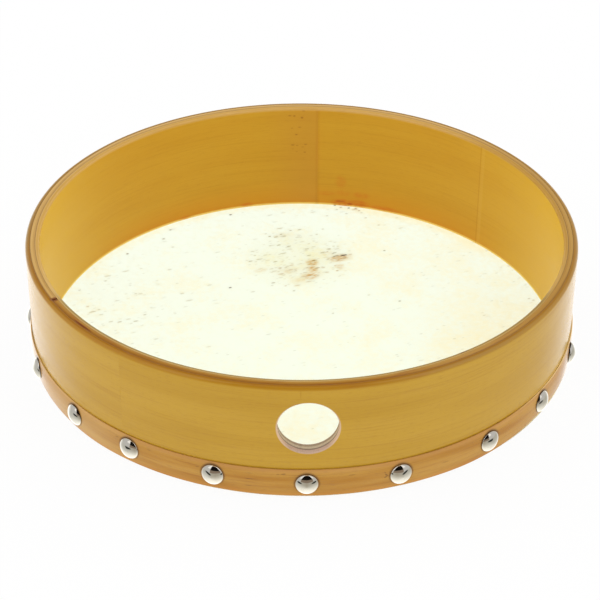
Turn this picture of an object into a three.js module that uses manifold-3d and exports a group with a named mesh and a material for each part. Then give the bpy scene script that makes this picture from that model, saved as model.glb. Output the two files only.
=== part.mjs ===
// Hand drum: a bent-wood shell of three plies and a skin head, tacked on under a wooden band.
// Millimetres, +Z up. The head lies on z = 0, the drum's axis is Z and the thumb hole faces -Y.
// Angles round the drum are in degrees, counted from -Y towards +X.
import * as THREE from 'three';
import { mergeVertices } from 'three/addons/utils/BufferGeometryUtils.js';
import Module from 'manifold-3d';

const wasm = await Module();
wasm.setup();

// Shell
const shellDiameter = 254;
const shellHeight = 57.2;
const outerPlyThickness = 2.2;
const corePlyThickness = 2.2;
const innerPlyThickness = 1.9;
const glueLine = 0.1;
const rimOuterRound = 2;
const rimInnerRound = 1.2;
const bearingRound = 4; // outer lower edge, over which the head is drawn

// Butt joints, where the two ends of a bent strip meet
const outerJointAngle = -38;
const outerJointGap = 0.3;
const coreJointAngle = -61;
const coreJointGap = 1.3;
const innerJointAngle = 175;
const innerJointGap = 0.4;
const bandJointGap = 0.5;

// Thumb hole
const thumbHoleDiameter = 26.5;
const thumbHoleDrop = 20; // from the rim down to the hole's centre

// Head
const skinThickness = 0.5;
const skirtSetback = 0.8; // from the band's upper edge down to the edge of the skirt

// Band
const bandThickness = 0.8;
const bandWidth = 13.2;
const bandLift = 2.9; // from the head's face up to the band's lower edge

// Tacks, driven by hand and so not quite evenly spaced
const tackAngles = [
  0, 18.1, 38.3, 55.2, 74, 92.7, 110.4, 128.2, 145.9, 163.6,
  181.4, 199.1, 216.8, 234.5, 252.3, 270, 289.5, 308, 323.8, 342,
];
const tackHeadDiameter = 10;
const tackHeadHeight = 2.4;
const tackHeadWall = 0.6;
const shankDiameter = 1.8;
const shankLength = 5.2; // from the head's rim to the tip
const shankPointLength = 1.8;

// Clearances
const skinFit = 0.05; // on each side of the skin
const tackFit = 0.3; // under a tack's head and round its shank

// Facets
const facetsPerTack = 4;
const roundSteps = 3;
const thumbHoleFacets = 48;
const tackFacets = 12;
const pilotFacets = 8;

// Places that follow from the sizes above
const shellRadius = shellDiameter / 2;
const shellBase = skinThickness + skinFit;
const rimTop = shellBase + shellHeight;
const outerPlyInside = shellRadius - outerPlyThickness;
const corePlyOutside = outerPlyInside - glueLine;
const corePlyInside = corePlyOutside - corePlyThickness;
const innerPlyOutside = corePlyInside - glueLine;
const shellInside = innerPlyOutside - innerPlyThickness;
const skirtInside = shellRadius + skinFit;
const bandInside = skirtInside + skinThickness + skinFit;
const bandOutside = bandInside + bandThickness;
const bandTop = bandLift + bandWidth;
const tackHeight = bandLift + bandWidth / 2;
const bandJointAngle = (tackAngles[9] + tackAngles[10]) / 2; // midway between two tacks
const ringFacets = facetsPerTack * tackAngles.length;

const point = (radius, height) => new THREE.Vector2(radius, height);
const radians = THREE.MathUtils.degToRad;

// A round stretch of a profile, from one angle to another about its centre.
function arc(centreRadius, centreHeight, round, fromAngle, toAngle) {
  const points = [];
  for (let step = 0; step <= roundSteps; step += 1) {
    const angle = radians(fromAngle + ((toAngle - fromAngle) * step) / roundSteps);
    points.push(point(centreRadius + round * Math.cos(angle), centreHeight + round * Math.sin(angle)));
  }
  return points;
}

// The stretch of an outward-running edge that lies between two radii.
function between(edge, inside, outside) {
  const heightAt = (radius) => {
    const next = Math.max(1, edge.findIndex((corner) => corner.x >= radius));
    const share = (radius - edge[next - 1].x) / (edge[next].x - edge[next - 1].x);
    return THREE.MathUtils.lerp(edge[next - 1].y, edge[next].y, share);
  };
  const middle = edge.filter((corner) => corner.x > inside && corner.x < outside);
  const end = edge[edge.length - 1];
  const first = inside <= edge[0].x ? edge[0] : point(inside, heightAt(inside));
  const last = outside >= end.x ? end : point(outside, heightAt(outside));
  return [first, ...middle, last];
}

// A stretch of a dome's profile, between two angles seen from the middle of its rim.
function domed(radius, height, fromAngle, toAngle) {
  return arc(0, 0, 1, fromAngle, toAngle).map((spot) => point(radius * spot.x, height * spot.y));
}

// A profile turned about Z. A closed profile ends where it starts.
// Any other profile starts and ends on the axis.
function turned(profile, facets) {
  return new THREE.LatheGeometry(profile, facets).rotateX(Math.PI / 2);
}

// A closed geometry as a solid that can be cut.
function solidOf(geometry) {
  const bare = geometry.clone();
  bare.deleteAttribute('normal');
  bare.deleteAttribute('uv');
  const merged = mergeVertices(bare);
  const corners = merged.index.array;
  const triangles = [];
  for (let first = 0; first < corners.length; first += 3) {
    const [a, b, c] = corners.slice(first, first + 3);
    if (a !== b && b !== c && c !== a) triangles.push(a, b, c);
  }
  return new wasm.Manifold(new wasm.Mesh({
    numProp: 3,
    vertProperties: new Float32Array(merged.attributes.position.array),
    triVerts: new Uint32Array(triangles),
  }));
}

// A solid back as a geometry.
function geometryOf(solid) {
  const mesh = solid.getMesh();
  const geometry = new THREE.BufferGeometry();
  geometry.setAttribute('position', new THREE.BufferAttribute(mesh.vertProperties, 3));
  geometry.setIndex(new THREE.BufferAttribute(mesh.triVerts, 1));
  geometry.computeVertexNormals();
  return geometry;
}

// The slot between the two ends of a strip, through the whole wall.
function jointCutter(angle, gap) {
  const depth = 2 * (bandOutside - shellInside);
  const slot = new THREE.BoxGeometry(gap, depth, 2 * rimTop);
  return solidOf(slot.translate(0, -(bandOutside + shellInside) / 2, rimTop / 2).rotateZ(radians(angle)));
}

// The thumb hole, through the whole wall.
function thumbHoleCutter() {
  const radius = thumbHoleDiameter / 2;
  const length = 4 * (shellRadius - shellInside);
  const hole = new THREE.CylinderGeometry(radius, radius, length, thumbHoleFacets);
  return solidOf(hole.translate(0, -(shellRadius + shellInside) / 2, rimTop - thumbHoleDrop));
}

// The pilot hole of one tack, from outside the band to just past the tack's tip.
function pilotCutter(angle) {
  const radius = shankDiameter / 2 + tackFit;
  const outside = bandOutside + tackHeadHeight;
  const inside = bandOutside - shankLength - tackFit;
  const hole = new THREE.CylinderGeometry(radius, radius, outside - inside, pilotFacets);
  return solidOf(hole.translate(0, -(outside + inside) / 2, tackHeight).rotateZ(radians(angle)));
}

const pilots = tackAngles.map(pilotCutter).reduce((all, next) => all.add(next));
const thumbHole = thumbHoleCutter();

// Lower and upper edge of the whole wall, each running outwards.
const bearingCentre = shellRadius - bearingRound;
const lowerEdge = [
  point(shellInside, shellBase),
  ...arc(bearingCentre, shellBase + bearingRound, bearingRound, -90, 0),
];
const upperEdge = [
  ...arc(shellInside + rimInnerRound, rimTop - rimInnerRound, rimInnerRound, 180, 90),
  ...arc(shellRadius - rimOuterRound, rimTop - rimOuterRound, rimOuterRound, 90, 0),
];

// One ply: the strip of the wall between two radii.
// It has its butt joint, the thumb hole and the pilot holes.
function ply(inside, outside, jointAngle, jointGap) {
  const lower = between(lowerEdge, inside, outside);
  const upper = between(upperEdge, inside, outside).reverse();
  const ring = solidOf(turned([...lower, ...upper, lower[0]], ringFacets));
  return geometryOf(ring.subtract(thumbHole).subtract(jointCutter(jointAngle, jointGap)).subtract(pilots));
}

// The head: a flat skin drawn over the bearing edge, with its skirt turned up under the band.
function head() {
  const skirtTop = bandTop - skirtSetback;
  const insideRound = bearingRound + skinFit;
  const outsideRound = insideRound + skinThickness;
  const centreHeight = shellBase + bearingRound;
  const skin = solidOf(turned([
    point(0, 0),
    ...arc(bearingCentre, centreHeight, outsideRound, -90, 0),
    point(skirtInside + skinThickness, skirtTop),
    point(skirtInside, skirtTop),
    ...arc(bearingCentre, centreHeight, insideRound, 0, -90),
    point(0, skinThickness),
  ], ringFacets));
  return geometryOf(skin.subtract(pilots));
}

// The band: a thin strip bent round the skirt, its ends meeting between two tacks.
function band() {
  const ring = solidOf(turned([
    point(bandInside, bandLift),
    point(bandOutside, bandLift),
    point(bandOutside, bandTop),
    point(bandInside, bandTop),
    point(bandInside, bandLift),
  ], ringFacets));
  return geometryOf(ring.subtract(jointCutter(bandJointAngle, bandJointGap)).subtract(pilots));
}

// A tack: a hollow domed head on a pointed shank. Its axis is Y, the head's rim lies at y = 0.
function tack() {
  const rimRadius = tackHeadDiameter / 2;
  const hollowRadius = rimRadius - tackHeadWall;
  const hollowHeight = tackHeadHeight - tackHeadWall;
  const shankRadius = shankDiameter / 2;
  const shankTopAngle = THREE.MathUtils.radToDeg(Math.acos(shankRadius / hollowRadius));
  return new THREE.LatheGeometry([
    point(0, -shankLength),
    point(shankRadius, shankPointLength - shankLength),
    ...domed(hollowRadius, hollowHeight, shankTopAngle, 0),
    ...domed(rimRadius, tackHeadHeight, 0, 90).slice(0, -1),
    point(0, tackHeadHeight),
  ], tackFacets);
}

const varnishedWood = { roughness: 0.35, metalness: 0 };
const outerPlyFinish = new THREE.MeshStandardMaterial({ color: 0xc49a42, ...varnishedWood });
const corePlyFinish = new THREE.MeshStandardMaterial({ color: 0xa8783a, ...varnishedWood });
const innerPlyFinish = new THREE.MeshStandardMaterial({ color: 0xd2a04a, ...varnishedWood });
const bandFinish = new THREE.MeshStandardMaterial({ color: 0xbc8a4c, ...varnishedWood });
const skinFinish = new THREE.MeshStandardMaterial({ color: 0xf6f2dc, roughness: 0.6, metalness: 0 });
const nickelFinish = new THREE.MeshStandardMaterial({ color: 0xc8c6c2, roughness: 0.12, metalness: 1 });

const drum = new THREE.Group();

// One named piece of the drum.
function addPiece(name, geometry, finish) {
  const piece = new THREE.Mesh(geometry, finish);
  piece.name = name;
  drum.add(piece);
  return piece;
}

addPiece('outer_ply', ply(outerPlyInside, shellRadius, outerJointAngle, outerJointGap), outerPlyFinish);
addPiece('core_ply', ply(corePlyInside, corePlyOutside, coreJointAngle, coreJointGap), corePlyFinish);
addPiece('inner_ply', ply(shellInside, innerPlyOutside, innerJointAngle, innerJointGap), innerPlyFinish);
addPiece('drum_head', head(), skinFinish);
addPiece('retaining_band', band(), bandFinish);

const tackShape = tack();
tackAngles.forEach((angle, index) => {
  const name = `tack_${String(index + 1).padStart(2, '0')}`;
  const piece = addPiece(name, tackShape, nickelFinish);
  const seat = bandOutside + tackFit;
  piece.position.set(seat * Math.sin(radians(angle)), -seat * Math.cos(radians(angle)), tackHeight);
  piece.rotation.z = radians(angle) + Math.PI;
});

export default drum;
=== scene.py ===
import math
import random

import bpy
from mathutils import Matrix, Vector


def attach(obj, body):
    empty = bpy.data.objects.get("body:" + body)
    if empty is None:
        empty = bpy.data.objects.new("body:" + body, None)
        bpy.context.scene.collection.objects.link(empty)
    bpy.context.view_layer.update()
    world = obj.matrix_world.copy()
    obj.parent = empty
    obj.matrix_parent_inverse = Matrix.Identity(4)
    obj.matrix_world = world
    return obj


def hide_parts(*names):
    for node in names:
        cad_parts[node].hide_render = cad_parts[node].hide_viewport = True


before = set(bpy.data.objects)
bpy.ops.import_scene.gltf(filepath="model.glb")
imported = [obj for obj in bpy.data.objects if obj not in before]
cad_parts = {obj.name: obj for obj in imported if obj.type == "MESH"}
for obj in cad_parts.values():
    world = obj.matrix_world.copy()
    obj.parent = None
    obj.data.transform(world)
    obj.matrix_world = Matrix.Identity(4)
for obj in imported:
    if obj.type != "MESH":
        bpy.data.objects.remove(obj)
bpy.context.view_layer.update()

scene = bpy.context.scene
scene.view_settings.view_transform = "Standard"
mm = 0.001
print("drum frame loaded:", len(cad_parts), "solids")


class Wire:  # one output of a node, ready for sums
    def __init__(self, finish, socket):
        self.finish, self.socket = finish, socket

    def also(self, name):  # another output of the same node
        return Wire(self.finish, self.socket.node.outputs[name])

    def sum(self, operation, *terms):
        return self.finish.node("Math", {"operation": operation}, dict(enumerate(terms)))

    def __add__(self, other):
        return self.sum("ADD", self, other)

    def __sub__(self, other):
        return self.sum("SUBTRACT", self, other)

    def __rsub__(self, other):
        return self.sum("SUBTRACT", other, self)

    def __mul__(self, other):
        return self.sum("MULTIPLY", self, other)

    def __truediv__(self, other):
        return self.sum("DIVIDE", self, other)

    def __rtruediv__(self, other):
        return self.sum("DIVIDE", other, self)

    def __pow__(self, other):
        return self.sum("POWER", self, other)

    def __abs__(self):
        return self.sum("ABSOLUTE", self)

    def __neg__(self):
        return self.sum("MULTIPLY", self, -1.0)

    __radd__ = __add__
    __rmul__ = __mul__


class Finish:  # a node tree being filled
    def __init__(self, tree):
        self.tree = tree
        self.tree.nodes.clear()

    def node(self, kind, settings=None, sockets=None, out=0):
        made = self.tree.nodes.new("ShaderNode" + kind)
        for key, value in (settings or {}).items():
            setattr(made, key, value)
        for key, value in (sockets or {}).items():
            if isinstance(value, Wire):
                self.tree.links.new(value.socket, made.inputs[key])
            else:
                made.inputs[key].default_value = value
        return Wire(self, made.outputs[out]) if len(made.outputs) else None


def newFinish(name):
    material = bpy.data.materials.new(name)
    material.use_nodes = True
    return material, Finish(material.node_tree)


def tone(red, green, blue):  # a colour as it looks on screen, 0 to 255
    linear = []
    for value in (red / 255, green / 255, blue / 255):
        linear.append(value / 12.92 if value <= 0.04045 else ((value + 0.055) / 1.055) ** 2.4)
    return (*linear, 1.0)


def grey(value):
    return (value, value, value, 1.0)


def softStep(finish, value, low, high):
    return finish.node("MapRange", {"interpolation_type": "SMOOTHSTEP"},
                       {"Value": value, "From Min": low, "From Max": high})


def blend(finish, mask, first, second):
    return finish.node("Mix", {"data_type": "RGBA"}, {0: mask, 6: first, 7: second}, 2)


def paint(finish, mask, under, over):  # a screen tone laid over a colour
    return blend(finish, mask, under, tone(*over))


def vector(finish, x, y, z=0.0):
    return finish.node("CombineXYZ", None, {"X": x, "Y": y, "Z": z})


def noise(finish, place, detail=2.0, roughness=0.5):
    return finish.node("TexNoise", None,
                       {"Vector": place, "Scale": 1.0, "Detail": detail, "Roughness": roughness})


def grain(finish, spot, scale, detail=2.0, roughness=0.5):  # noise drawn out along the grain, scale in mm
    place = vector(finish, *(part / size for part, size in zip(spot, scale)))
    return noise(finish, place, detail, roughness)


def bump(finish, height, depth, under=None):  # depth in mm
    sockets = {"Strength": 1.0, "Distance": depth * mm, "Height": height}
    if under:
        sockets["Normal"] = under
    return finish.node("Bump", None, sockets)


def placeInMm(finish):
    place = finish.node("TexCoord", None, None, "Object")
    large = finish.node("VectorMath", {"operation": "SCALE"}, {0: place, "Scale": 1000.0})
    x = finish.node("SeparateXYZ", None, {"Vector": large})
    return x, x.also("Y"), x.also("Z")


def patch(finish, flat, at, size, way=0.0, core=0.15):  # a soft oval on a flat layout
    near = finish.node("Mapping", {"vector_type": "TEXTURE"}, {
        "Vector": flat, "Location": (*at, 0.0), "Scale": (*size, 1.0),
        "Rotation": (0.0, 0.0, math.radians(way))})
    far = finish.node("VectorMath", {"operation": "LENGTH"}, {0: near}, "Value")
    return softStep(finish, far, 1.0, core)


def strongest(masks):  # each mask joins as soon as it is made, which keeps the shader small
    top = next(masks)
    for mask in masks:
        top = top.sum("MAXIMUM", top, mask)
    return top


# Camera first: it is the picture's own view, 600 by 600.
view = {
    "place": (-13.92, -724.91, 489.93),  # mm
    "heading": -1.0436, "tilt": 33.083, "roll": 0.138,  # degrees
    "lens": 109.467, "sensor": 36.0,
}
lens = bpy.data.cameras.new("drum_camera")
lens.lens, lens.sensor_width = view["lens"], view["sensor"]
camera = bpy.data.objects.new("drum_camera", lens)
camera.matrix_world = (
    Matrix.Translation(Vector(view["place"]) * mm)
    @ Matrix.Rotation(math.radians(view["heading"]), 4, "Z")
    @ Matrix.Rotation(math.radians(90 - view["tilt"]), 4, "X")
    @ Matrix.Rotation(math.radians(view["roll"]), 4, "Z")
)
scene.collection.objects.link(camera)
scene.camera = camera
print("camera placed")


# A white table lit from below under a soft even sky. Shiny faces see a room, and its places are in degrees
# round from the camera's side towards +X, and in degrees up from the table.
studio = {
    "behind": 0.985, "sky": 0.9, "skySides": 1.5, "tableGlow": 1.06,
    "floorSize": 8.0, "floorDrop": 0.5, "floorGlow": 0.94, "floorPaint": 0.95,
    "openingFrom": -40.6, "openingTo": 42.7, "openingLow": 17.0, "openingTop": 72.8, "backdropTop": 30.8,
    "barAt": (52.0, -7.5), "barSize": (27.0, 8.0), "barLean": 9.0, "barCore": 0.55,
    "stripAt": 51.5, "stripReach": (20.7, 14.7), "stripLow": (20.8, 32.8), "backWallFrom": (125.4, 148.4),
    "asideFrom": (-97.0, 68.0), "leftFrom": (-30.0, -75.0), "backFrom": ((-95.0, -150.0), (108.0, 165.0)),
    "nearFrom": -8.0, "nearTo": -98.7, "nearAside": 18.0,
    "opening": (0.006, 0.005, 0.004, 1), "bar": (0.03, 0.033, 0.028, 1), "dusk": (0.07, 0.065, 0.06, 1),
    "cameraWall": (0.25, 0.19, 0.14, 1), "sideWall": (0.56, 0.55, 0.53, 1),
    "sideStrip": (1.0, 0.97, 0.94, 1), "backdrop": (0.8, 0.74, 0.66, 1), "ceiling": (0.58, 0.44, 0.33, 1),
    "tableFront": (0.25, 0.16, 0.05, 1), "tableRight": (0.5, 0.485, 0.425, 1),
    "tableLeft": (0.56, 0.555, 0.51, 1), "tableBack": (1.5, 1.5, 1.48, 1), "tableNear": (1.25, 1.22, 1.1, 1),
}


def roomByDirection(s, sky, way):
    def past(value, at, soft):  # 0 before an edge and 1 past it, the other way round if soft is below 0
        return softStep(sky, value, at - soft, at + soft)

    x = sky.node("SeparateXYZ", None, {"Vector": way})
    around = x.sum("ARCTAN2", x, -x.also("Y")) * (180 / math.pi)
    up = x.sum("ARCSINE", x.also("Z")) * (180 / math.pi)
    side = abs(around)
    aside = softStep(sky, side, *s["asideFrom"])
    low = blend(sky, aside, s["tableFront"], s["tableRight"])
    low = blend(sky, softStep(sky, around, *s["leftFrom"]), low, s["tableLeft"])
    near = softStep(sky, up, s["nearFrom"], aside * s["nearAside"] + s["nearTo"])
    low = blend(sky, near, low, s["tableNear"])
    for reach in s["backFrom"]:
        low = blend(sky, softStep(sky, around, *reach), low, s["tableBack"])
    strip = softStep(sky, abs(side - s["stripAt"]), *s["stripReach"]) * softStep(sky, up, *s["stripLow"])
    high = blend(sky, strip, s["sideWall"], s["sideStrip"])
    ahead = blend(sky, past(up, s["openingLow"], 2), s["cameraWall"], s["opening"])
    opening = past(around, s["openingFrom"], 3) * past(around, s["openingTo"], -3)
    high = blend(sky, opening, high, ahead)
    behind = blend(sky, past(up, s["backdropTop"], 3), s["backdrop"], s["dusk"])
    high = blend(sky, softStep(sky, side, *s["backWallFrom"]), high, behind)
    high = blend(sky, past(up, s["openingTop"], 3), high, s["ceiling"])
    room = blend(sky, past(up, 0, 2), low, high)
    bar = patch(sky, vector(sky, side, up), s["barAt"], s["barSize"], s["barLean"], s["barCore"])
    return blend(sky, bar, room, s["bar"])


def makeStudio(s):
    world = bpy.data.worlds.new("soft_studio")
    world.use_nodes = True
    scene.world = world
    sky = Finish(world.node_tree)
    way = sky.node("TexCoord", None, None, "Generated")
    across = sky.node("SeparateXYZ", None, {"Vector": way}, "X")
    ray = sky.node("LightPath")
    light = blend(sky, across * across, grey(s["sky"]), grey(s["skySides"]))  # softboxes on both sides
    light = blend(sky, ray.also("Is Glossy Ray"), light, roomByDirection(s, sky, way))
    light = blend(sky, ray.also("Is Camera Ray"), light, grey(s["behind"]))
    glow = sky.node("Background", None, {"Color": light, "Strength": 1.0})
    sky.node("OutputWorld", None, {"Surface": glow})

    half, drop = s["floorSize"] / 2, -s["floorDrop"] * mm
    mesh = bpy.data.meshes.new("white_table")
    mesh.from_pydata([(-half, -half, drop), (half, -half, drop), (half, half, drop), (-half, half, drop)],
                     [], [(0, 1, 2, 3)])
    table = bpy.data.objects.new("white_table", mesh)
    material, top = newFinish("white_table")
    material.cycles.emission_sampling = "NONE"
    board = top.node("BsdfDiffuse", None, {"Color": grey(s["floorPaint"])})
    bright = top.node("Emission", None, {"Color": grey(1.0), "Strength": 1.0})
    lit = top.node("Emission", None, {"Color": grey(1.0), "Strength": s["tableGlow"]})
    seen = top.node("MixShader", None, {0: s["floorGlow"], 1: board, 2: bright})
    cameraRay = top.node("LightPath", None, None, "Is Camera Ray")
    byRay = top.node("MixShader", None, {0: cameraRay, 1: lit, 2: seen})
    top.node("OutputMaterial", None, {"Surface": byRay})
    mesh.materials.append(material)
    scene.collection.objects.link(table)
    table.visible_glossy = False  # shiny faces see the room's own table


makeStudio(studio)
print("table and studio light set")


# The wall of the shell: three bent strips, glued one inside the other. All in mm.
wall = {
    "outside": 127.0, "inside": 120.5, "foot": 0.55, "rim": 57.75,
    "rimOuterRound": 1.7, "rimInnerRound": 1.0, "bearingRound": 4.0,
    "edgeBreak": 0.05, "edgeBreakReach": 0.3, "edgeBreakSteps": (0.05, 0.11, 0.19, 0.29, 0.4),
    "segments": 320, "heightSteps": 12, "roundSteps": 10, "crease": 32,
    "holeWide": 12.85, "holeHigh": 12.5, "holeAcross": 0.55, "holeHeight": 37.5, "holeDrop": 0.5,
    "holeRound": 0.55, "holeRoundSteps": 6, "holePoints": 112, "holeSpare": 3.0,
}
plies = {
    "outer_shell_ply": {"node": "outer_ply", "slot": "outer_wood", "inside": 124.8, "outside": 127.0,
                        "joint": -38.0, "gap": 0.005, "glued": (124.8,)},
    "core_shell_ply": {"node": "core_ply", "slot": "core_wood", "inside": 122.5, "outside": 124.7,
                       "joint": -61.2, "gap": 0.9, "glued": (122.5, 124.7)},
    "inner_shell_ply": {"node": "inner_ply", "slot": "inner_wood", "inside": 120.5, "outside": 122.4,
                        "joint": 175.0, "gap": 0.005, "glued": (122.4,)},
}
# Edges of the band, which the skirt and the painted pale light on the wall follow. Each climb of the lower
# edge has its height in mm, and the degrees over which it comes and goes.
bandEdges = {
    "low": 2.9, "top": 16.25, "topRise": 0.8,
    "climbs": ((2.6, (32, 62), (140, 95)), (1.3, (-44, -70), (-140, -95))),
}


def onDrum(angle, radius, height):  # degrees from the thumb hole towards +X
    turn = math.radians(angle)
    return Vector((radius * math.sin(turn), -radius * math.cos(turn), height)) * mm


def makePiece(name, points, faces, material, crease=wall["crease"]):
    mesh = bpy.data.meshes.new(name)
    mesh.from_pydata(points, [], faces)
    mesh.materials.append(material)
    piece = bpy.data.objects.new(name, mesh)
    scene.collection.objects.link(piece)
    smooth(mesh, crease)
    return piece


def smooth(mesh, crease):
    mesh.polygons.foreach_set("use_smooth", [True] * len(mesh.polygons))
    mesh.set_sharp_from_angle(angle=math.radians(crease))
    mesh.update()


def bentStrip(name, outline, joint, gap, material, segments, warp=None):
    # outline: (radius, height) points, counter-clockwise, swept once round from joint to joint
    half = math.degrees(gap / 2 / outline[0][0])
    points, faces = [], []
    for step in range(segments + 1):
        angle = joint + half + (360 - 2 * half) * step / segments
        for radius, height in outline:
            points.append(onDrum(angle, *(warp(angle, radius, height) if warp else (radius, height))))
    count = len(outline)
    for step in range(segments):
        for turn in range(count):
            a, b = step * count + turn, step * count + (turn + 1) % count
            faces.append((a, a + count, b + count, b))
    faces.append(tuple(range(count)))
    faces.append(tuple(segments * count + turn for turn in reversed(range(count))))
    return makePiece(name, points, faces, material)


def turnedFaces(count, segments):  # rows of points all the way round, then one point to close each end
    low, high, faces = segments * count, segments * count + 1, []
    turns = [(step * count, (step + 1) % segments * count) for step in range(segments)]
    for a, b in turns:
        faces += [(a + row, b + row, b + row + 1, a + row + 1) for row in range(count - 1)]
    for a, b in turns:
        faces += [(low, b, a), (high, a + count - 1, b + count - 1)]
    return faces


def wallTop(radius):
    inner, outer = wall["rimInnerRound"], wall["rimOuterRound"]
    fromInside = wall["inside"] + inner - radius
    fromOutside = radius - (wall["outside"] - outer)
    if fromInside > 0:
        return wall["rim"] - inner + math.sqrt(max(inner ** 2 - fromInside ** 2, 0))
    if fromOutside > 0:
        return wall["rim"] - outer + math.sqrt(max(outer ** 2 - fromOutside ** 2, 0))
    return wall["rim"]


def wallFoot(radius):
    bearing = wall["bearingRound"]
    past = max(radius - (wall["outside"] - bearing), 0)
    return wall["foot"] + bearing - math.sqrt(max(bearing ** 2 - past ** 2, 0))


def plyOutline(inside, outside, glued):
    steps = wall["roundSteps"]
    rounds = [math.sin(math.pi / 2 * step / steps) for step in range(steps + 1)]
    radii = {inside, outside}
    for depth in wall["edgeBreakSteps"]:
        radii |= {inside + depth, outside - depth}
    radii |= {wall["outside"] - wall["rimOuterRound"] * (1 - share) for share in rounds}
    radii |= {wall["inside"] + wall["rimInnerRound"] * (1 - share) for share in rounds}
    radii = sorted(radius for radius in radii if inside <= radius <= outside)
    feet = {inside, outside}
    feet |= {wall["outside"] - wall["bearingRound"] * (1 - share) for share in rounds}
    feet = sorted(radius for radius in feet if inside <= radius <= outside)

    def topAt(radius):  # glued edges are a little broken, so that each ply shows
        near = min(abs(radius - edge) for edge in glued) / wall["edgeBreakReach"]
        return wallTop(radius) - wall["edgeBreak"] * (1 - min(near, 1)) ** 2

    outline = [(radius, wallFoot(radius)) for radius in feet]
    count = wall["heightSteps"]
    low, high = wallFoot(outside), topAt(outside)
    outline += [(outside, low + (high - low) * step / count) for step in range(1, count)]
    outline += [(radius, topAt(radius)) for radius in reversed(radii)]
    low, high = wallFoot(inside), topAt(inside)
    outline += [(inside, high + (low - high) * step / count) for step in range(1, count)]
    return outline


def thumbHoleTool():  # follows the curved faces, so that the hole's edges are evenly rounded
    edge, count, steps = wall["holeRound"], wall["holePoints"], wall["holeRoundSteps"]
    turns = [math.pi / 2 * step / steps for step in range(steps + 1)]
    rounded = [(edge - edge * math.cos(turn), edge - edge * math.sin(turn)) for turn in turns]
    sections = [("inside", -wall["holeSpare"], edge)] + [("inside", depth, more) for depth, more in rounded]
    sections += [("outside", -depth, more) for depth, more in reversed(rounded)]
    sections += [("outside", wall["holeSpare"], edge)]
    points, faces = [], []
    for face, depth, more in sections:
        centre = wall["holeHeight"] - (wall["holeDrop"] if face == "inside" else 0)
        for step in range(count):
            turn = 2 * math.pi * step / count
            x = wall["holeAcross"] + (wall["holeWide"] + more) * math.cos(turn)
            reach = math.sqrt(wall[face] ** 2 - x ** 2) + depth
            points.append(Vector((x, -reach, centre + (wall["holeHigh"] + more) * math.sin(turn))) * mm)
    for row in range(len(sections) - 1):
        for step in range(count):
            a, b = row * count + step, row * count + (step + 1) % count
            faces.append((a, b, b + count, a + count))
    faces.append(tuple(reversed(range(count))))
    faces.append(tuple((len(sections) - 1) * count + step for step in range(count)))
    mesh = bpy.data.meshes.new("thumb_hole_tool")
    mesh.from_pydata(points, [], faces)
    tool = bpy.data.objects.new("thumb_hole_tool", mesh)
    scene.collection.objects.link(tool)
    return tool


def boreThumbHole(piece, tool):
    cut = piece.modifiers.new("thumb_hole", "BOOLEAN")
    cut.operation, cut.solver, cut.object = "DIFFERENCE", "EXACT", tool
    bored = bpy.data.meshes.new_from_object(piece.evaluated_get(bpy.context.evaluated_depsgraph_get()))
    piece.modifiers.clear()
    piece.data = bored
    smooth(bored, wall["crease"])


# Wood of the shell. The grain runs round the drum and breaks at each strip's own joint.
woods = {
    "outer_shell_ply": {
        "light": (194, 151, 42), "deep": (187, 143, 33), "streak": (166, 114, 14),
        "streakShare": 0.36, "poreShare": 0.5, "rough": 0.2, "gloss": 1.5, "wave": 0.2, "stainFrom": 28.0,
        "rim": (160, 130, 72), "rimLine": (160, 116, 40), "lineAt": 125.4,
        "rimFront": (156, 100, 6), "rimFrontOut": (174, 122, 12), "rimRed": (160, 98, 24),
        "bare": (198, 166, 142), "bareDark": (150, 124, 100), "bareSideLight": (232, 198, 158),
    },
    "core_shell_ply": {
        "light": (186, 140, 62), "deep": (170, 120, 40), "streak": (150, 98, 24),
        "streakShare": 0.4, "poreShare": 0.2, "rough": 0.24, "gloss": 1.42, "wave": 0.1, "stainFrom": 4.0,
        # on this ply the rimLine is lighter than the rim: a painted highlight
        "rim": (195, 152, 82), "rimLine": (212, 170, 96), "lineAt": 123.9, "paleEnd": (240.0, 280.0),
        "rimFront": (184, 134, 50), "rimFrontOut": (154, 100, 18), "rimRed": (146, 78, 20),
        "bare": (200, 182, 150), "bareDark": (146, 124, 102), "bareSideLight": (206, 182, 144),
    },
    "inner_shell_ply": {
        "light": (206, 156, 37), "deep": (202, 150, 31), "streak": (180, 124, 16),
        "streakShare": 0.24, "poreShare": 0.35, "rough": 0.4, "gloss": 1.3, "wave": 0.08, "stainFrom": 0.0,
        "rim": (212, 170, 100), "rimLine": (206, 162, 82), "lineAt": 121.4, "lip": (122, 98, 42),
        # on this ply the front tones are lighter than the rim: a painted highlight
        "rimFront": (232, 206, 150), "rimFrontOut": (218, 180, 110), "rimRed": (196, 146, 74),
        "bare": (172, 150, 124), "bareDark": (126, 104, 84), "bareSideLight": (168, 146, 118),
    },
}
# What the three strips share. Sizes of the grain are along it, up the wall and through it, in mm.
shellWearAndLight = {
    "grain": (120, 11, 9), "streaks": (42, 0.8, 0.8), "pores": (4, 0.16, 0.2), "waves": (35, 9),
    "rimLayers": (30, 3, 0.35), "rimWear": (18, 2, 1), "cutGrain": (0.5, 0.5, 0.5), "nicks": (0.45, 9, 1),
    "rimFrom": 2.1, "rimFull": 0.6, "rimRough": 0.2, "rimRight": (170, 124, 34), "stainReach": 62.0,
    "lipFrom": 1.8, "lipFull": 1.2, "glue": (122, 78, 28), "cutGlue": (112, 88, 76), "cutGlueAt": 124.7,
    "tickAngle": -1.2, "tickHeight": 54.6, "tickSize": (0.5, 3.2),
    "paleLight": (248, 214, 136), "paleLightOver": (0.85, 0.25), "paleLightSide": (84.0, 116.0),
}
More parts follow.
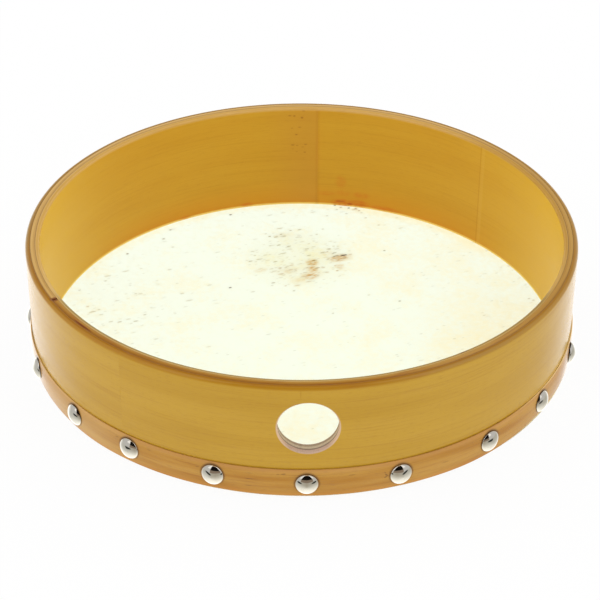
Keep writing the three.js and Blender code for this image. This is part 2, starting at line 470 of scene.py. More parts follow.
# Marks on the rim: degrees, mm from the axis, half length and half width in mm, how strong, tone.
rimMarks = {
    "outer_shell_ply": [(-61.4, 124.8, 1.9, 1.1, 0.85, (140, 84, 36))],
    "core_shell_ply": [
        (-61.2, 123.6, 2.1, 2.6, 0.95, (134, 78, 34)),  # an open joint, on both of its ends
        (-61.201, 123.6, 2.1, 2.6, 0.95, (134, 78, 34)),
        (-49.7, 124.1, 8.5, 0.6, 0.9, (116, 50, 16)),  # a crack
    ],
    "inner_shell_ply": [(32.5, 121.2, 3.6, 0.6, 0.7, (112, 66, 26))],
}
# Flecks and stains inside the wall: degrees, height, half length, half height, how strong.
insideMarksAndLight = {
    "flecks": [
        (-178.1, 53.3, 1.3, 0.6, 0.6), (-179.2, 53.1, 1.0, 0.7, 0.75), (178.9, 52.1, 1.1, 0.9, 0.8),
        (178.5, 56.0, 1.4, 0.5, 0.6), (-178.6, 46.0, 0.9, 0.6, 0.4), (179.5, 46.5, 1.3, 0.6, 0.5),
        (-179.7, 42.2, 1.2, 0.6, 0.75), (-178.8, 36.1, 1.5, 0.6, 0.75), (-179.9, 35.8, 1.1, 0.5, 0.5),
        (178.0, 36.4, 1.3, 0.6, 0.6), (178.7, 34.9, 1.2, 0.5, 0.4), (-179.8, 32.1, 0.9, 0.5, 0.35),
        (178.2, 31.8, 1.1, 0.6, 0.6), (-178.8, 33.8, 0.9, 0.5, 0.3),
    ],
    "stains": [
        (168.2, 2.2, 8.5, 3.0, 0.8), (164.2, 2.8, 8.0, 2.8, 0.65), (168.5, 8.2, 6.5, 2.2, 0.25),
        (163.8, 8.0, 6.5, 2.4, 0.4), (172.5, 7.4, 7.0, 1.6, 0.3), (169.0, 15.0, 4.0, 5.0, 0.3),
        (157.5, 2.2, 12.0, 2.0, 0.55), (-167.1, 2.0, 5.0, 1.7, 0.55), (-150.4, 1.4, 4.5, 1.4, 0.5),
    ],
    "scars": [(169.2, 3.2, 4.0, 0.8, 0.45), (166.6, 2.2, 2.4, 0.7, 0.5), (163.4, 2.4, 3.0, 0.6, 0.3)],
    "lap": 130.8, "seam": 175.0, "seamGlow": 33.0, "litSides": (222, 177, 45), "footTone": (206, 124, 12),
    "fleck": (150, 80, 14), "stain": (204, 104, 14), "scarTone": (160, 66, 18), "warm": (208, 138, 16),
    "glow": (255, 232, 130), "brown": (194, 138, 46), "pale": (212, 168, 62), "line": (178, 112, 6),
    "orange": (194, 108, 18), "blots": (3, 1.2),
}


def aroundFrom(angle, joint):  # mm along the strip, 0 opposite its joint
    turned = (angle - joint - 180 + 180) % 360 - 180
    return math.radians(turned) * wall["outside"]


def alongStrip(x, y, joint):
    back = math.radians(joint + 180)
    across = x * math.cos(back) + y * math.sin(back)
    ahead = x * math.sin(back) - y * math.cos(back)
    return x.sum("ARCTAN2", across, ahead) * wall["outside"]


def paleLightSides(finish, x):  # painted light: a pale strip at both sides, more on the right, over the shaded crevice at the band's top
    start, full = shellWearAndLight["paleLightSide"]
    return softStep(finish, x, start, full) + 0.45 * softStep(finish, x, -start, -full)


def rimColour(finish, ply, wood, along, radius, x, y, height):
    w = shellWearAndLight
    layer = grain(finish, (along, height, radius), w["rimLayers"], 3)
    worn = grain(finish, (along, radius, 4.0), w["rimWear"], 3)
    # a line on each ply's rim; on the core ply it is lighter, a painted highlight
    line = softStep(finish, abs(radius - wood["lineAt"] + (worn - 0.5) * 0.8), 0.75, 0.25)
    colour = blend(finish, line, tone(*wood["rim"]), tone(*wood["rimLine"]))
    colour = paint(finish, softStep(finish, x, 60.0, 118.0) * 0.55, colour, w["rimRight"])
    stainTo = wood["stainFrom"] - w["stainReach"]  # the stain is deeper by the thumb hole
    front = softStep(finish, y + worn * 30.0, wood["stainFrom"], stainTo)
    front = front * (1 - 0.45 * softStep(finish, x, 15.0, 80.0))
    if "paleEnd" in wood:  # one end of the strip took less stain
        front = front * (1 - 0.85 * softStep(finish, along, *wood["paleEnd"]))
    outwards = softStep(finish, radius, ply["inside"] + 0.2, ply["outside"] - 0.3)
    # towards the front the outer and core plies are stained darker, and the inner ply is painted lighter, a
    # painted highlight
    frontStainAndHighlight = blend(finish, outwards, tone(*wood["rimFront"]), tone(*wood["rimFrontOut"]))
    frontStainAndHighlight = paint(finish, softStep(finish, worn, 0.48, 0.68) * 0.4, frontStainAndHighlight, wood["rimRed"])
    colour = blend(finish, front, colour, frontStainAndHighlight)
    return paint(finish, softStep(finish, layer, 0.42, 0.72) * 0.25, colour, wood["streak"])


def insideColour(finish, along, y, height, ply, colour):
    m = insideMarksAndLight
    flat = vector(finish, along, height)

    def spots(rows, core):
        places = [((aroundFrom(row[0], ply["joint"]), row[1]), row[2:4], row[4]) for row in rows]
        return strongest(patch(finish, flat, at, size, 0.0, core) * share for at, size, share in places)

    # painted light: the inner wall is paler and yellower away from the back, where the sides catch more
    # light
    colour = paint(finish, softStep(finish, y, 98.0, 2.0), colour, m["litSides"])
    atBack = softStep(finish, y, 40.0, 108.0)
    near = softStep(finish, height, 17.0, 1.5) * atBack  # warmer towards the skin
    colour = paint(finish, near * 0.6, colour, m["warm"])
    seam = aroundFrom(m["seam"] + 0.01, ply["joint"])
    left = softStep(finish, along, seam + 34.0, seam + 2.0) * softStep(finish, along, seam - 1.0, seam)
    colour = paint(finish, left * 0.45, colour, m["brown"])
    foot = softStep(finish, height, 4.5, 1.0)
    colour = paint(finish, foot * atBack * 0.35, colour, m["footTone"])
    # painted light: a pale glow on the inner wall just above the skin
    colour = paint(finish, softStep(finish, height, 1.9, 1.0) * 0.7, colour, m["glow"])
    blot = 0.35 + 0.65 * softStep(finish, grain(finish, (along, height), m["blots"], 3), 0.35, 0.6)
    colour = paint(finish, spots(m["stains"], 0.4) * blot, colour, m["stain"])
    colour = paint(finish, spots(m["scars"], 0.3), colour, m["scarTone"])
    colour = paint(finish, spots(m["flecks"], 0.2) * 0.8, colour, m["fleck"])
    pastLap = along - aroundFrom(m["lap"], ply["joint"])
    colour = paint(finish, softStep(finish, abs(pastLap), 0.5, 0.1) * 0.35, colour, m["line"])
    colour = paint(finish, softStep(finish, abs(pastLap + 1.8), 1.5, 0.6) * 0.3, colour, m["pale"])
    half = math.pi * wall["outside"]
    ends = softStep(finish, half - abs(along), 1.7, 0.2)
    middle = softStep(finish, abs(height - m["seamGlow"]), 16.0, 4.0)
    line = blend(finish, middle * 0.7, tone(*m["line"]), tone(*m["orange"]))
    return blend(finish, ends * 0.24, colour, line)


def outsideColour(finish, along, x, height, radius, ply, wood, colour):
    w = shellWearAndLight
    tickAt = (aroundFrom(w["tickAngle"], ply["joint"]), w["tickHeight"])  # over the thumb hole
    tick = patch(finish, vector(finish, along, height), tickAt, w["tickSize"])
    colour = paint(finish, tick * 0.35, colour, wood["streak"])
    # painted light: the wall just above the band is paled at the sides, where the band's edge shades it
    overBand = height - bandEdges["topRise"] * (x / radius) ** 3 - bandEdges["top"]
    paleLight = softStep(finish, overBand, *w["paleLightOver"]) * paleLightSides(finish, x)
    return paint(finish, paleLight * 0.7, colour, w["paleLight"])


def boredMask(finish, x, y, height):  # 1 inside the thumb hole
    wide = (x - wall["holeAcross"]) / wall["holeWide"]
    high = (height - wall["holeHeight"] + wall["holeDrop"] / 2) / wall["holeHigh"]
    far = (wide * wide + high * high) ** 0.5
    mouth = 1 + wall["holeRound"] / wall["holeHigh"]
    return softStep(finish, far, mouth + 0.02, mouth - 0.02) * softStep(finish, y, -100.0, -110.0)


def boredColour(finish, wood, x, y, height, radius):  # bare wood, cut across
    w = shellWearAndLight
    cut = softStep(finish, grain(finish, (x, height, radius), w["cutGrain"], 3, 0.6), 0.45, 0.75)
    bare = blend(finish, cut * 0.4, tone(*wood["bare"]), tone(*wood["bareDark"]))
    # painted light: the bore's left and right sides are paler, as if lit from the side
    aside = softStep(finish, abs(x - wall["holeAcross"]), 7.0, 12.5)
    bare = paint(finish, aside * 0.5, bare, wood["bareSideLight"])
    nicks = softStep(finish, grain(finish, (x, y, 2.0), w["nicks"]), 0.45, 0.65)  # torn by the drill
    nicks = nicks * softStep(finish, x, 3.0, -4.0) * softStep(finish, height, 30.0, 27.0)
    bare = paint(finish, nicks * 0.3, bare, wood["bareDark"])
    glueLine = softStep(finish, abs(radius - w["cutGlueAt"]), 0.65, 0.2)
    return paint(finish, glueLine * 0.7, bare, w["cutGlue"])


def shellFinish(name, ply, wood):
    w = shellWearAndLight
    material, finish = newFinish(name)
    x, y, height = placeInMm(finish)
    radius = (x * x + y * y) ** 0.5
    along = alongStrip(x, y, ply["joint"])
    spot = (along, height, radius)
    broad = softStep(finish, grain(finish, spot, w["grain"]), 0.3, 0.7)
    streak = grain(finish, spot, w["streaks"], 4, 0.6)
    streaks = softStep(finish, streak, 0.48, 0.74)
    pores = softStep(finish, grain(finish, spot, w["pores"], 1), 0.6, 0.72)
    colour = blend(finish, broad, tone(*wood["light"]), tone(*wood["deep"]))
    colour = paint(finish, streaks * wood["streakShare"], colour, wood["streak"])
    colour = paint(finish, pores * wood["poreShare"], colour, wood["streak"])
    if name == "inner_shell_ply":
        colour = insideColour(finish, along, y, height, ply, colour)
    if name == "outer_shell_ply":
        colour = outsideColour(finish, along, x, height, radius, ply, wood, colour)
    rim = softStep(finish, height, wall["rim"] - w["rimFrom"], wall["rim"] - w["rimFull"])
    colour = blend(finish, rim, colour, rimColour(finish, ply, wood, along, radius, x, y, height))
    if "lip" in wood:  # painted shade: the inner rounded edge of the rim is darkened at the front
        lip = softStep(finish, radius, wall["inside"] + w["lipFrom"], wall["inside"] + w["lipFull"])
        lip = lip * softStep(finish, y, -48.0, -66.0)
        colour = paint(finish, lip * rim * 0.65, colour, wood["lip"])
    glue = strongest(softStep(finish, abs(radius - at), 0.3, 0.04) for at in ply["glued"])
    colour = paint(finish, glue * rim * 0.2, colour, w["glue"])
    for angle, markRadius, long, wide, share, markTone in rimMarks[name]:
        at = (aroundFrom(angle, ply["joint"]), markRadius)
        dark = patch(finish, vector(finish, along, radius), at, (long, wide), 0.0, 0.5)
        colour = paint(finish, dark * rim * share, colour, markTone)
    bored = boredMask(finish, x, y, height)
    colour = blend(finish, bored, colour, boredColour(finish, wood, x, y, height, radius))
    sheen = wood["rough"] + streaks * 0.05 + bored * 0.35 - rim * (wood["rough"] - w["rimRough"])
    normal = bump(finish, grain(finish, (along, height), w["waves"], 1), wood["wave"])
    normal = bump(finish, streak + pores * -0.6, 0.02, normal)
    shader = finish.node("BsdfPrincipled", None, {
        "Base Color": colour, "Roughness": sheen, "IOR": wood["gloss"], "Normal": normal})
    finish.node("OutputMaterial", None, {"Surface": shader})
    return material


tool = thumbHoleTool()
for name, ply in plies.items():
    wood = shellFinish(name, ply, woods[name])
    outline = plyOutline(ply["inside"], ply["outside"], ply["glued"])
    piece = bentStrip(name, outline, ply["joint"], ply["gap"], wood, wall["segments"])
    boreThumbHole(piece, tool)
    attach(piece, "root")
    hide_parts(ply["node"])
    print("bent", name, len(piece.data.polygons), "faces")
bpy.data.objects.remove(tool)


# The head: a skin drawn over the bearing edge, its skirt held by the band.
head = {
    "thickness": 0.5, "skirtInside": 127.05, "bearingCentre": 123.0, "bearingHeight": 4.55, "bearing": 4.05,
    "setback": 4.5, "segments": 320, "rings": (18, 40, 62, 84, 100, 112, 118.5), "bendSteps": 12,
    "skirtRows": (6.5, 8.5), "gather": 0.03, "gatherHeight": 6.0, "crease": 40,
    "flat": 0.2745, "area": 0.0592,
    "cream": (251, 252, 236), "warm": (252, 244, 208), "cloud": (251, 249, 222),
    "through": (0.972, 1.0, 0.925, 1), "throughYellow": (0.995, 0.965, 0.8, 1), "throughput": 0.868,
    "hairWay": 19.0, "hairThin": 0.5, "hair": (136, 130, 86), "rust": (164, 114, 40), "dark": (70, 44, 18),
    "smear": (222, 164, 40), "tint": (246, 238, 140),
    "warmAt": (101.0, -10.0), "warmSize": (60.0, 64.0), "workedAt": (0.0, 66.0), "workedSize": (34.0, 36.0),
    "edgeAt": (-88.0, 22.0), "edgeSize": (30.0, 40.0), "shortCell": (4.4, 1.5), "longCell": (7.5, 2.2),
    "clouds": (24, 24), "hatches": (3.2, 0.8, 1), "mottles": (2.5, 2.5, 1), "pebbles": (0.7, 0.7, 0.7),
}
# Roots of the scraped hair: tone, half length in mm, how strong, and where they are in x and y.
hairs = [
    ("hair", 0.8, 0.42, ((-17.0, 89.6), (-14.8, 77.7), (33.8, 30.3), (20.1, 76.7))),
    ("hair", 0.8, 0.47, (
        (-4.0, 92.8), (12.8, 94.0), (9.5, 88.7), (-22.6, 68.2), (-3.1, 34.5), (17.9, 76.7),
        (-64.8, 77.0), (-97.0, 45.0), (-109.3, 36.7), (-98.3, 19.0), (-81.4, 33.0), (-75.9, 14.2),
        (15.6, 14.2), (112.5, 26.0), (114.5, 24.5), (15.5, 107.7), (33.8, 110.5), (35.8, 105.2),
        (42.2, 97.7), (20.8, 114.0), (25.8, 109.8))),
    ("hair", 0.8, 0.68, (
        (-15.0, 86.9), (-9.1, 89.0), (-66.8, 94.2), (-69.9, 85.2), (43.8, 72.1), (48.7, 24.6))),
    ("hair", 1.3, 0.42, (
        (-7.4, 86.8), (-23.7, 72.2), (-17.3, 68.5), (-23.5, 34.0), (7.5, 76.3), (-79.0, 33.0),
        (-83.5, 10.5), (-91.8, 8.4), (-96.9, 14.6), (-58.4, 33.0), (-45.0, 40.5), (-69.3, -6.8),
        (-65.5, 55.3))),
    ("hair", 1.3, 0.54, (
        (-12.1, 62.1), (-10.3, 78.2), (-5.0, 77.0), (-13.3, 42.1), (15.3, 74.1), (11.8, 70.4),
        (4.1, 74.2), (5.1, 67.9), (-79.8, 8.7), (-87.6, 8.1))),
    ("hair", 1.3, 0.58, ((-11.7, 86.3), (0.6, 93.5), (-24.7, 62.7), (18.2, 70.3))),
    ("hair", 2.0, 0.42, ((-87.6, 54.0), (-96.3, 49.6), (-54.7, 26.6))),
    ("hair", 2.0, 0.5, ((-9.6, 95.0), (-20.3, 64.5), (-8.1, 70.1), (-101.3, 17.1))),
    ("rust", 0.8, 0.48, ((-7.1, 39.3), (18.1, 57.8), (-104.1, 21.9))),
    ("rust", 0.8, 0.62, ((19.0, 53.1), (32.6, 112.8), (30.9, 115.2), (23.0, 116.4))),
    ("rust", 1.3, 0.47, ((-9.9, 56.1), (13.8, 51.6), (12.0, 56.3), (26.2, 68.6))),
    ("rust", 1.3, 0.5, ((-3.9, 58.6),)),
    ("rust", 2.0, 0.45, (
        (-9.4, 50.4), (-4.5, 54.2), (1.7, 47.7), (-1.4, 39.5), (4.6, 43.1), (30.3, 114.2))),
    ("dark", 0.8, 0.75, ((27.2, 115.6), (-87.7, 70.7), (20.0, 118.6))),
    ("dark", 0.8, 0.85, ((-34.7, 38.0), (-35.6, 109.4))),
    ("dark", 2.0, 0.55, ((18.8, 67.2),)),
    ("dark", 2.0, 1.0, ((22.8, 67.8),)),
]
# Rusty smears: x, y, half width, half height in mm, how strong.
smears = [
    (6.6, 61.0, 5.5, 5.0, 1.0), (6.8, 54.5, 5.0, 6.5, 0.95), (5.5, 48.5, 7.5, 5.5, 0.9),
    (20.5, 65.4, 9.5, 6.0, 0.95), (20.5, 57.0, 4.0, 5.0, 0.6), (-19.5, 54.2, 6.0, 3.0, 0.5),
    (0.0, 44.5, 8.0, 5.0, 0.45), (-6.0, 53.0, 11.0, 6.0, 0.4), (15.0, 70.0, 9.0, 4.0, 0.35),
    (-8.0, 88.0, 9.0, 5.0, 0.3),
]


def bandTop(angle):  # the strip sits a little higher on one side
    return bandEdges["top"] + bandEdges["topRise"] * math.sin(math.radians(angle)) ** 3


def ease(value, low, high):
    share = min(max((value - low) / (high - low), 0), 1)
    return share * share * (3 - 2 * share)


def bandLow(angle):  # and its lower edge climbs towards both sides, most on the right
    side = (angle + 180) % 360 - 180
    low = bandEdges["low"]
    for climb, comes, goes in bandEdges["climbs"]:
        low += climb * ease(side, *comes) * ease(side, *goes)
    return low


def dashes(finish, along, across, cell, density):  # short hair roots, one to a cell
    place = vector(finish, along / cell[0], across / cell[1])
    far = finish.node("TexVoronoi", {"voronoi_dimensions": "2D"},
                      {"Vector": place, "Scale": 1.0}, "Distance")
    chance = finish.node("SeparateColor", None, {"Color": far.also("Color")}, "Red")
    there = softStep(finish, chance, 1 - density, 1.03 - density)
    return softStep(finish, far, 0.26, 0.12) * there * (0.35 + 0.65 * chance.also("Green"))


def skinFinish(h):
    material, finish = newFinish("scraped_skin")
    x, y, height = placeInMm(finish)
    flat = vector(finish, x, y)
    way = math.radians(h["hairWay"])
    along = x * math.cos(way) + y * math.sin(way)
    across = y * math.cos(way) - x * math.sin(way)
    cloud = softStep(finish, grain(finish, (x, y), h["clouds"], 4, 0.6), 0.35, 0.7)
    colour = blend(finish, cloud * 0.7, tone(*h["cream"]), tone(*h["cloud"]))
    warm = patch(finish, flat, h["warmAt"], h["warmSize"])
    colour = paint(finish, warm * 0.8, colour, h["warm"])
    hatch = softStep(finish, grain(finish, (along, across, 7.0), h["hatches"], 3, 0.6), 0.36, 0.66)
    worked = patch(finish, flat, h["workedAt"], h["workedSize"], 0.0, 0.3)  # scraped hardest
    edge = patch(finish, flat, h["edgeAt"], h["edgeSize"], 0.0, 0.3)
    density = 0.07 + worked * 0.55 + edge * 0.12
    faint = dashes(finish, along, across, h["shortCell"], density)
    long = dashes(finish, along + 31.0, across, h["longCell"], density * 0.6)
    faint = faint.sum("MAXIMUM", faint, long)
    tint = worked * (0.4 + 0.6 * cloud)
    mottle = grain(finish, (x, y, 5.0), h["mottles"], 4, 0.65) - 0.5
    colour = paint(finish, tint, colour, h["tint"])
    smear = strongest(patch(finish, flat, row[:2], row[2:4], h["hairWay"], 0.1) * row[4] for row in smears)
    smear = smear * (0.2 + 0.8 * hatch)
    colour = paint(finish, smear, colour, h["smear"])
    blocked = smear * 0.95 + faint * (0.28 + worked * 0.08)
    blocked = blocked.sum("MAXIMUM", blocked, tint * 0.14)
    root = blend(finish, worked * 0.4, tone(*h["hair"]), tone(*h["rust"]))
    colour = blend(finish, faint * 0.7, colour, root)
    thin = h["hairThin"] * 1.3
    for rootTone, halfLong, share, spots in hairs:
        long = halfLong * 1.25
        scaled = vector(finish, along / long, across / thin)
        nearest = None
        for px, py in spots:
            spot = ((px * math.cos(way) + py * math.sin(way)) / long,
                    (py * math.cos(way) - px * math.sin(way)) / thin, 0.0)
            far = finish.node("VectorMath", {"operation": "DISTANCE"}, {0: scaled, 1: spot}, "Value")
            nearest = far.sum("MINIMUM", far, nearest) if nearest else far
        dash = softStep(finish, nearest, 1.0, 0.5) * share
        colour = paint(finish, dash, colour, h[rootTone])
        blocked = blocked.sum("MAXIMUM", blocked, dash * 0.95)
    normal = bump(finish, grain(finish, (x, y, height), h["pebbles"], 4, 0.65), 0.03)
    normal = bump(finish, cloud, 0.08, normal)
    surface = finish.node("BsdfPrincipled", None, {
        "Base Color": colour, "Roughness": 0.5 + 0.12 * cloud, "IOR": 1.45, "Normal": normal})
    lit = finish.node("BsdfTranslucent", None, {"Color": h["through"], "Normal": normal})
    litYellow = finish.node("BsdfTranslucent", None, {"Color": h["throughYellow"], "Normal": normal})
    back = softStep(finish, y, 20.0, 100.0)
    front = softStep(finish, y, -25.0, -60.0)
    byWall = softStep(finish, (x * x + y * y) ** 0.5, 113.0, 119.0)
    yellow = 0.1 + 0.34 * softStep(finish, x, -5.0, 55.0) * softStep(finish, y, 15.0, 75.0)
    yellow = yellow + warm * (0.2 + 0.25 * hatch) - back * 0.08 + front * 0.28
    yellow = yellow + (cloud - 0.5) * 0.55 + mottle * 1.6 + byWall * back * 0.7
    lit = finish.node("MixShader", None, {0: yellow, 1: lit, 2: litYellow})
    # painted light: more light is let through at the back and towards the left, brightening them
    clear = h["throughput"] + back * 0.06 - warm * (0.03 + 0.06 * hatch)
    clear = clear + softStep(finish, x, -30.0, -90.0) * 0.025 - mottle * 0.34
    mixed = finish.node("MixShader", None, {0: (1 - blocked) * clear, 1: surface, 2: lit})
    finish.node("OutputMaterial", None, {"Surface": mixed})
    return material


def pucker(h, angle, height):  # small gathers below the band
    turn = math.radians(angle)
    fold = math.sin(37 * turn + 1.3) + 0.6 * math.sin(61 * turn + 4.0) + 0.5 * math.sin(23 * turn)
    return h["gather"] * fold * math.sin(math.pi * min(max(height / h["gatherHeight"], 0), 1))


def makeHead(h):
    steps, outside = h["bendSteps"], h["skirtInside"] + h["thickness"]
    turns = [math.radians(-90 + 90 * step / steps) for step in range(steps + 1)]

    def bend(radius):  # over the bearing edge
        return [(h["bearingCentre"] + radius * math.cos(turn), h["bearingHeight"] + radius * math.sin(turn))
                for turn in turns]

    below = [(radius, 0.0) for radius in h["rings"]] + bend(h["bearing"] + h["thickness"])
    below += [(outside, height) for height in h["skirtRows"]]
    above = [(h["skirtInside"], height) for height in reversed(h["skirtRows"])]
    above += reversed(bend(h["bearing"]))
    above += [(radius, h["thickness"]) for radius in reversed(h["rings"])]
    count, segments = len(below) + len(above) + 2, h["segments"]
    points = []
    for step in range(segments):
        angle = 360 * step / segments
        lip = bandTop(angle) - h["setback"]
        for radius, height in below + [(outside, lip), (h["skirtInside"], lip)] + above:
            gathered = pucker(h, angle, height) if radius > h["bearingCentre"] else 0
            points.append(onDrum(angle, radius + gathered, height))
    points += [Vector((0, 0, 0)), Vector((0, 0, h["thickness"] * mm))]
    return makePiece("skin_head", points, turnedFaces(count, segments), skinFinish(h), h["crease"])


skinHead = makeHead(head)
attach(skinHead, "root")
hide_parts("drum_head")
print("skin drawn over the bearing edge")


# The band that holds the skirt. Sizes of its grain are in mm.
band = {
    "corner": 0.2, "cornerSteps": 4, "joint": 172.5, "gap": 0.4, "segments": 360,
    "bow": 0.05, "bowReach": 9,
    "outer": ((128.16, 0.2), (128.24, 0.45), (128.2, 0.68), (127.98, 0.87)),
    "inner": ((127.22, 0.9), (127.45, 0.78), (127.62, 0.7), (127.62, 0.4)),
    "outerLow": 128.02, "outerTop": 127.68, "innerLow": 127.62, "innerTop": 127.1,
    "light": (193, 143, 56), "deep": (175, 118, 26), "crestHighlight": (208, 156, 92), "streak": (156, 98, 28),
    "foot": (196, 126, 28), "shadeAndCracks": (74, 38, 14), "pale": (214, 178, 116), "ledgeLight": (250, 218, 150),
    "paleAt": -51.0, "paleReach": 46.0, "ledgeLightUnder": (-0.3, -0.1),
    "shadeRingReach": 1.0, "shadeRingUp": 0.4, "crackThin": 0.4,
    "rough": 0.28, "coat": 0.08, "coatSides": 0.8,
    "grain": (50, 5, 1), "streaks": (20, 0.7, 1), "pores": (3.2, 0.16, 1),
    "checks": (5, 0.5, 1), "checked": (25, 8, 1), "waves": (18, 6),
}
# Small splits by the tacks: degrees, height, half length in mm, lean in degrees, how strong.
bandCracks = [
    (-4.4, 14.2, 1.6, 6.0, 0.5), (-5.4, 13.9, 1.0, 4.0, 0.35), (15.2, 10.2, 1.2, -35.0, 0.7),
    (15.0, 9.2, 1.0, 25.0, 0.6), (14.9, 11.6, 0.8, -50.0, 0.35), (-21.0, 12.4, 1.2, 20.0, 0.3),
    (36.0, 12.6, 1.3, -15.0, 0.35), (-39.2, 13.0, 1.4, 10.0, 0.35), (52.8, 12.2, 1.2, -25.0, 0.4),
    (8.5, 12.8, 2.2, 3.0, 0.3), (-11.0, 7.0, 2.4, 2.0, 0.28), (27.5, 9.0, 2.6, -2.0, 0.28),
]
# Its tacks, which were driven by eye.
tacks = {
    "angles": (0, 18.1, 38.3, 55.2, 74, 92.7, 110.4, 128.2, 145.9, 163.6,
               181.4, 199.1, 216.8, 234.5, 252.3, 270, 289.5, 308, 323.8, 342),
    "heights": (9.2, 9.2, 9.85, 10.8, 10.6, 10.4, 10.3, 10.2, 10.0, 9.8,
                9.5, 9.3, 9.1, 9.2, 9.4, 9.5, 9.55, 9.7, 9.85, 9.85),
    "seat": 128.26, "rimRadius": 4.98, "dome": 2.5, "steep": 1.6, "wallThick": 0.5, "hollowSteps": 8,
    "shankRadius": 0.85, "shankLong": 5.0, "pointLong": 1.4, "segments": 64, "rings": 18, "crease": 40,
    "seed": 11, "tilt": 1.5, "dent": 0.02,
    "nickel": (236, 233, 226), "worn": (222, 217, 206), "rough": 0.03,
    "clouds": (1.6, 1.6, 1.6), "scratches": (0.25, 0.25, 1.4),
}


def bandFinish(b, t):
    material, finish = newFinish("band_wood")
    x, y, height = placeInMm(finish)
    along = alongStrip(x, y, b["joint"])
    flat = vector(finish, along, height)
    broad = softStep(finish, grain(finish, (along, height, 2.0), b["grain"]), 0.3, 0.7)
    streak = grain(finish, (along, height, 5.0), b["streaks"], 4, 0.6)
    streaks = softStep(finish, streak, 0.48, 0.75)
    pores = softStep(finish, grain(finish, (along, height, 9.0), b["pores"], 1), 0.62, 0.72)
    checks = softStep(finish, grain(finish, (along, height, 14.0), b["checks"], 1), 0.7, 0.78)
    checks = checks * softStep(finish, grain(finish, (along, height, 3.0), b["checked"], 1), 0.5, 0.65)
    colour = blend(finish, broad, tone(*b["light"]), tone(*b["deep"]))
    colour = paint(finish, streaks * 0.55, colour, b["streak"])
    colour = paint(finish, pores * 0.6, colour, b["streak"])
    colour = paint(finish, checks * 0.6, colour, b["shadeAndCracks"])
    left = softStep(finish, abs(along - aroundFrom(b["paleAt"], b["joint"])), b["paleReach"], 10.0)
    colour = paint(finish, left * 0.3, colour, b["pale"])
    low = bandEdges["low"]
    # painted highlight: a lighter line along the band's top
    crestHighlight = softStep(finish, height, low + 10.6, low + 12.8)
    colour = paint(finish, crestHighlight * 0.4, colour, b["crestHighlight"])
    foot = softStep(finish, height, low + 3.0, low + 0.4)
    colour = paint(finish, foot * 0.5, colour, b["foot"])
    # painted light: the band's top edge is paled at the sides, where it sits in shade
    fromTop = height - bandEdges["topRise"] * (x / b["outerTop"]) ** 3 - bandEdges["top"]
    ledgeLight = softStep(finish, fromTop, *b["ledgeLightUnder"])
    colour = paint(finish, ledgeLight * paleLightSides(finish, x) * 0.8, colour, b["ledgeLight"])
    # painted shade: a dark ring round each tack, set a little above it, for the tack's contact shadow; the
    # same dark tone marks the checks and cracks
    ring = (t["rimRadius"] + b["shadeRingReach"],) * 2
    rings = [(aroundFrom(angle, b["joint"]), tall + b["shadeRingUp"])
             for angle, tall in zip(t["angles"], t["heights"])]
    shadeAndCracks = strongest(patch(finish, flat, at, ring, 0.0, 0.75) for at in rings)
    colour = paint(finish, shadeAndCracks * 0.85, colour, b["shadeAndCracks"])
    cracks = [((aroundFrom(angle, b["joint"]), tall), (long, b["crackThin"]), lean, share)
              for angle, tall, long, lean, share in bandCracks]
    cracks = strongest(patch(finish, flat, at, size, lean, 0.3) * share for at, size, lean, share in cracks)
    colour = paint(finish, cracks, colour, b["shadeAndCracks"])
    normal = bump(finish, grain(finish, (along, height), b["waves"], 1), 0.12)
    normal = bump(finish, streak - pores * 0.6 - checks * 1.5, 0.03, normal)
    coat = b["coat"] + b["coatSides"] * softStep(finish, y, -60.0, -36.0)  # the front is worn by the hand
    shader = finish.node("BsdfPrincipled", None, {
        "Base Color": colour, "Roughness": b["rough"] + streaks * 0.08, "IOR": 1.48, "Normal": normal,
        "Coat Weight": coat, "Coat Roughness": 0.1})
    finish.node("OutputMaterial", None, {"Surface": shader})
    return material


def makeBand(b, t):
    corner, steps = b["corner"], b["cornerSteps"]
    turns = [math.radians(90 * step / steps) for step in range(steps + 1)]
    low, top = b["outerLow"] - corner, b["outerTop"] - corner
    outline = [(b["innerLow"], (0, 0.05))]  # heights: a share of the strip's width, and mm more
    outline += [(low + corner * math.sin(turn), (0, corner - corner * math.cos(turn))) for turn in turns]
    outline += [(radius, (share, 0.0)) for radius, share in b["outer"]]
    outline += [(top + corner * math.cos(turn), (1, corner * math.sin(turn) - corner)) for turn in turns]
    outline += [(b["innerTop"], (1, -0.06))] + [(radius, (share, 0.0)) for radius, share in b["inner"]]

    def warp(angle, radius, spot):  # a touch of bow between the tacks
        share, extra = spot
        nearest = min(abs((angle - other + 180) % 360 - 180) for other in t["angles"])
        between = (1 - math.cos(math.pi * min(nearest / b["bowReach"], 1))) / 2
        lift = b["bow"] * between * (2 * share - 1) ** 2
        return radius + lift, bandLow(angle) + (bandTop(angle) - bandLow(angle)) * share + extra

    return bentStrip("tacked_band", outline, b["joint"], b["gap"], bandFinish(b, t), b["segments"], warp)


tackedBand = makeBand(band, tacks)
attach(tackedBand, "root")
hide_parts("retaining_band")
print("band bent round the skirt")


def nickelFinish(t):
    material, finish = newFinish("polished_nickel")
    x, y, height = placeInMm(finish)
    cloud = grain(finish, (x, y, height), t["clouds"], 3)
    scratch = grain(finish, (x, y, height), t["scratches"])
    worn = softStep(finish, cloud, 0.5, 0.75)
    scratches = softStep(finish, scratch, 0.6, 0.75)
    colour = blend(finish, worn * 0.5, tone(*t["nickel"]), tone(*t["worn"]))
    shader = finish.node("BsdfPrincipled", None, {
        "Base Color": colour, "Metallic": 1.0, "Roughness": t["rough"] + worn * 0.02 + scratches * 0.02,
        "Normal": bump(finish, cloud, 0.008)})
    finish.node("OutputMaterial", None, {"Surface": shader})
    return material


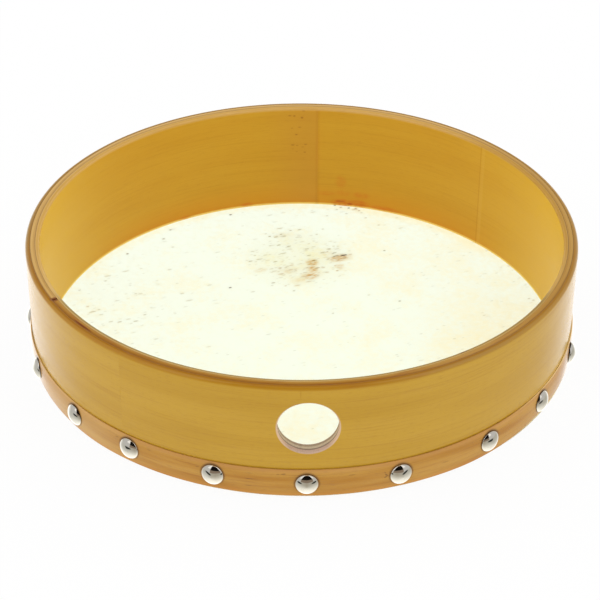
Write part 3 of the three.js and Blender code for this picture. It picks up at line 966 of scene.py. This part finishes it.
def tackProfile(t):  # (radius, distance out), from the shank's tip round the hollow to the crown
    rim, dome, power = t["rimRadius"], t["dome"], 2 / t["steep"]
    hollowRim, hollowDome = rim - t["wallThick"], dome - t["wallThick"]
    profile, steps = [(t["shankRadius"], t["pointLong"] - t["shankLong"])], t["hollowSteps"]
    for step in range(steps + 1):
        turn = math.acos(t["shankRadius"] / hollowRim) * (1 - step / steps)
        profile.append((hollowRim * math.cos(turn), hollowDome * math.sin(turn)))
    profile += [(rim - 0.3, -0.02), (rim - 0.12, 0.0)]
    for step in range(t["rings"]):
        turn = math.pi / 2 * (0.02 + 0.98 * (step / t["rings"]) ** 1.25)
        profile.append((rim * math.cos(turn) ** power, dome * math.sin(turn) ** power))
    return profile


def makeTacks(t):
    rng = random.Random(t["seed"])
    material, profile = nickelFinish(t), tackProfile(t)
    segments = t["segments"]
    faces = turnedFaces(len(profile), segments)
    for index, (angle, tall) in enumerate(zip(t["angles"], t["heights"])):
        lean = [math.radians(rng.uniform(-1, 1) * t["tilt"]) for _ in range(2)]
        phases = [rng.uniform(0, 2 * math.pi) for _ in range(2)]
        seat = (Matrix.Translation(onDrum(angle, t["seat"], tall))
                @ Matrix.Rotation(math.radians(angle), 4, "Z")
                @ Matrix.Rotation(lean[0], 4, "X") @ Matrix.Rotation(lean[1], 4, "Z"))
        points = []
        for step in range(segments):
            turn = 2 * math.pi * step / segments
            for radius, out in profile:
                dent = t["dent"] * math.sin(2 * turn + phases[0]) * math.sin(radius * 0.9 + phases[1])
                shift = dent * radius / t["rimRadius"] if out > 0.1 else 0
                spot = Vector((radius * math.cos(turn), -(out + shift), radius * math.sin(turn)))
                points.append(seat @ (spot * mm))
        points += [seat @ (Vector((0, t["shankLong"], 0)) * mm), seat @ (Vector((0, -t["dome"], 0)) * mm)]
        tack = makePiece(f"tack_head_{index + 1:02d}", points, faces, material, t["crease"])
        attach(tack, "root")
        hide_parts(f"tack_{index + 1:02d}")


makeTacks(tacks)
print("tacks driven:", len(tacks["angles"]))
